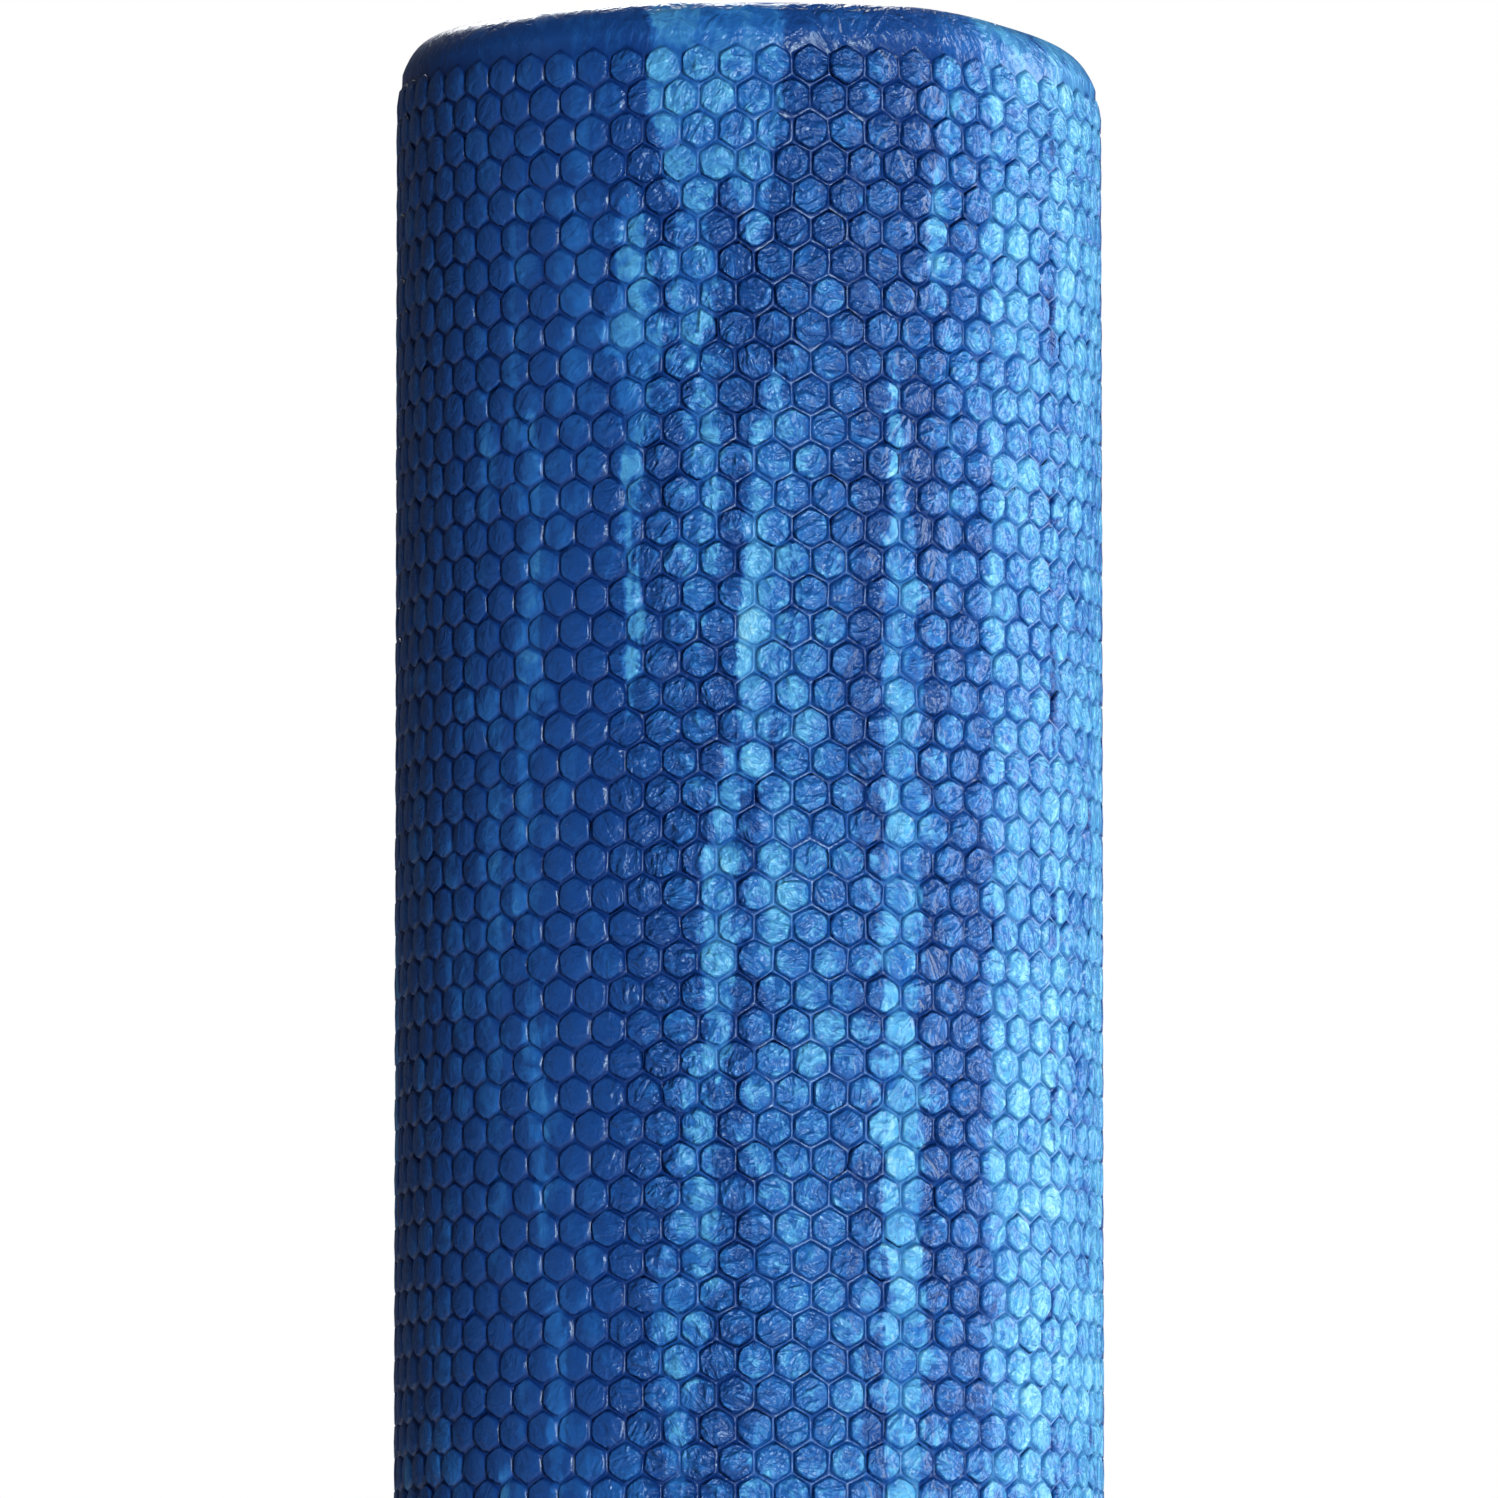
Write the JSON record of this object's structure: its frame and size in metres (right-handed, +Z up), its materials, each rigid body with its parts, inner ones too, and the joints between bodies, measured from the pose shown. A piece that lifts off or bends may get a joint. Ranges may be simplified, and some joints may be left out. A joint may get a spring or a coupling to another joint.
{
  "type": "foam roller",
  "caption": "Solid round closed-cell foam roller with an embossed honeycomb skin, rounded shoulders and flat ends, standing on one end.",
  "frame": {"origin": "centre of the lower end face, on the floor the roller stands on", "axes": "+Z up along the roller, -Y towards the side seen in the picture"},
  "size_m": [0.1524, 0.1524, 0.9144],
  "materials": {
    "rod_foam": "matt closed-cell foam, dark blue",
    "sheet_foam": "matt closed-cell foam, marbled mid blue",
    "skin_foam": "satin closed-cell foam, royal blue marbled with light blue, embossed honeycomb"
  },
  "bodies": {
    "root": {"core_rod": "rod_foam", "inner_sheet": "sheet_foam", "middle_sheet": "sheet_foam", "outer_sheet": "sheet_foam", "skin": "skin_foam"}
  },
  "joints": []
}
